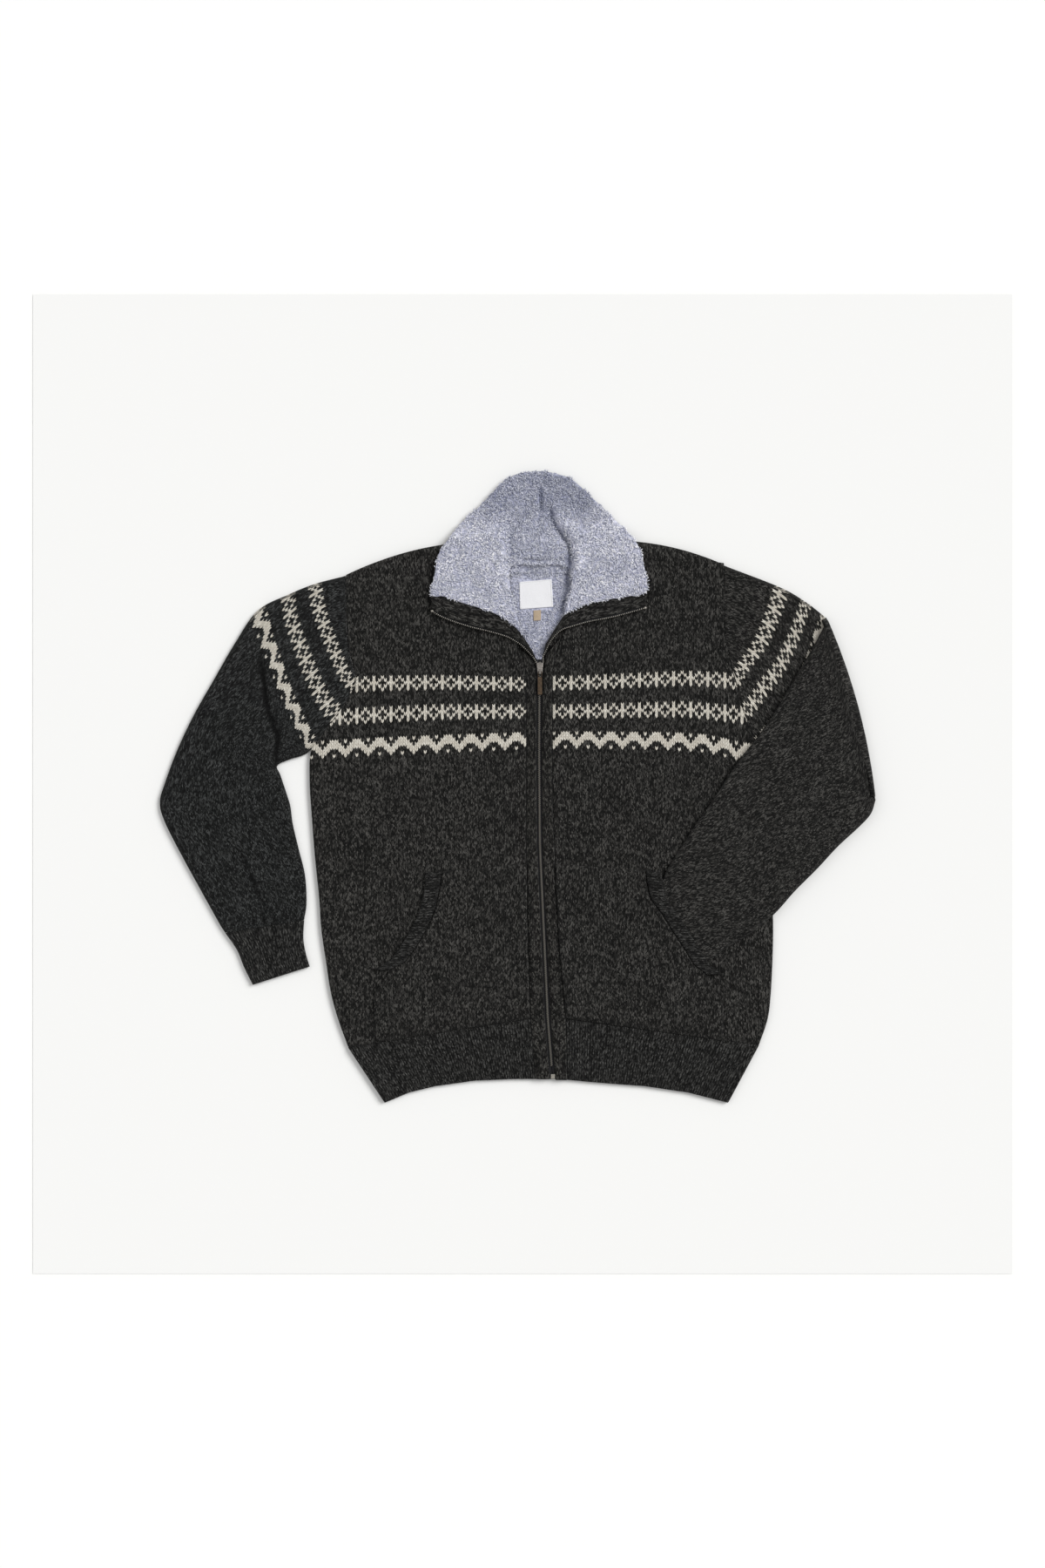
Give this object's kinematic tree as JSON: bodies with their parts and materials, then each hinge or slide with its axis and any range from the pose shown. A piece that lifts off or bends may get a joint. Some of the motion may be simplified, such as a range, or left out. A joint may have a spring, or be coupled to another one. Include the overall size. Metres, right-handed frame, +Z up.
{
  "type": "full-zip sweater",
  "caption": "Patterned knitted sweater laid flat, with a full-length zip, an open fleece-lined stand collar, patch pockets and one sleeve folded over the front.",
  "frame": {"origin": "centre of the bounding box in plan, on the surface the sweater lies on", "axes": "+Z up, away from the surface; +Y from hem to collar; +X to the viewer's right"},
  "size_m": [0.9034, 0.798, 0.0182],
  "materials": {
    "body_knit": "charcoal stocking-stitch wool with cream patterned bands, matte",
    "rib_knit": "charcoal 1x1 rib, matte",
    "fleece": "pale grey pile fleece, matte",
    "zip_tape": "dark woven tape",
    "zip_metal": "pale metal, satin",
    "leather": "brown, worn",
    "label": "near-white woven label, bare",
    "tag": "tan woven tag, bare"
  },
  "bodies": {
    "garment": {"back_panel": "body_knit", "front_left": "body_knit", "front_right": "body_knit", "sleeve_left": "body_knit", "sleeve_right": "body_knit", "pocket_left": "body_knit", "pocket_right": "body_knit", "collar_knit": "body_knit", "facing_left": "body_knit", "facing_right": "body_knit", "band_left": "body_knit", "band_right": "body_knit", "rib_front_left": "rib_knit", "rib_front_right": "rib_knit", "rib_back": "rib_knit", "cuff_left": "rib_knit", "cuff_right": "rib_knit", "pocket_rib_left": "rib_knit", "pocket_rib_right": "rib_knit", "collar_fleece": "fleece", "back_lining": "fleece", "zip_tape_left": "zip_tape", "zip_tape_right": "zip_tape", "zip_tape_open_left": "zip_tape", "zip_tape_open_right": "zip_tape", "zip_box": "zip_metal", "zip_slider": "zip_metal", "neck_label": "label", "size_tag": "tag"},
    "pull_tab": {"zip_pull": "leather"}
  },
  "joints": [
    {"name": "pull_tab_hinge", "type": "hinge", "parent": "garment", "child": "pull_tab", "pos_m": [0.0292, 0.1455, 0.0103], "axis": [-1, 0, 0], "range_deg": [0, 150]}
  ]
}
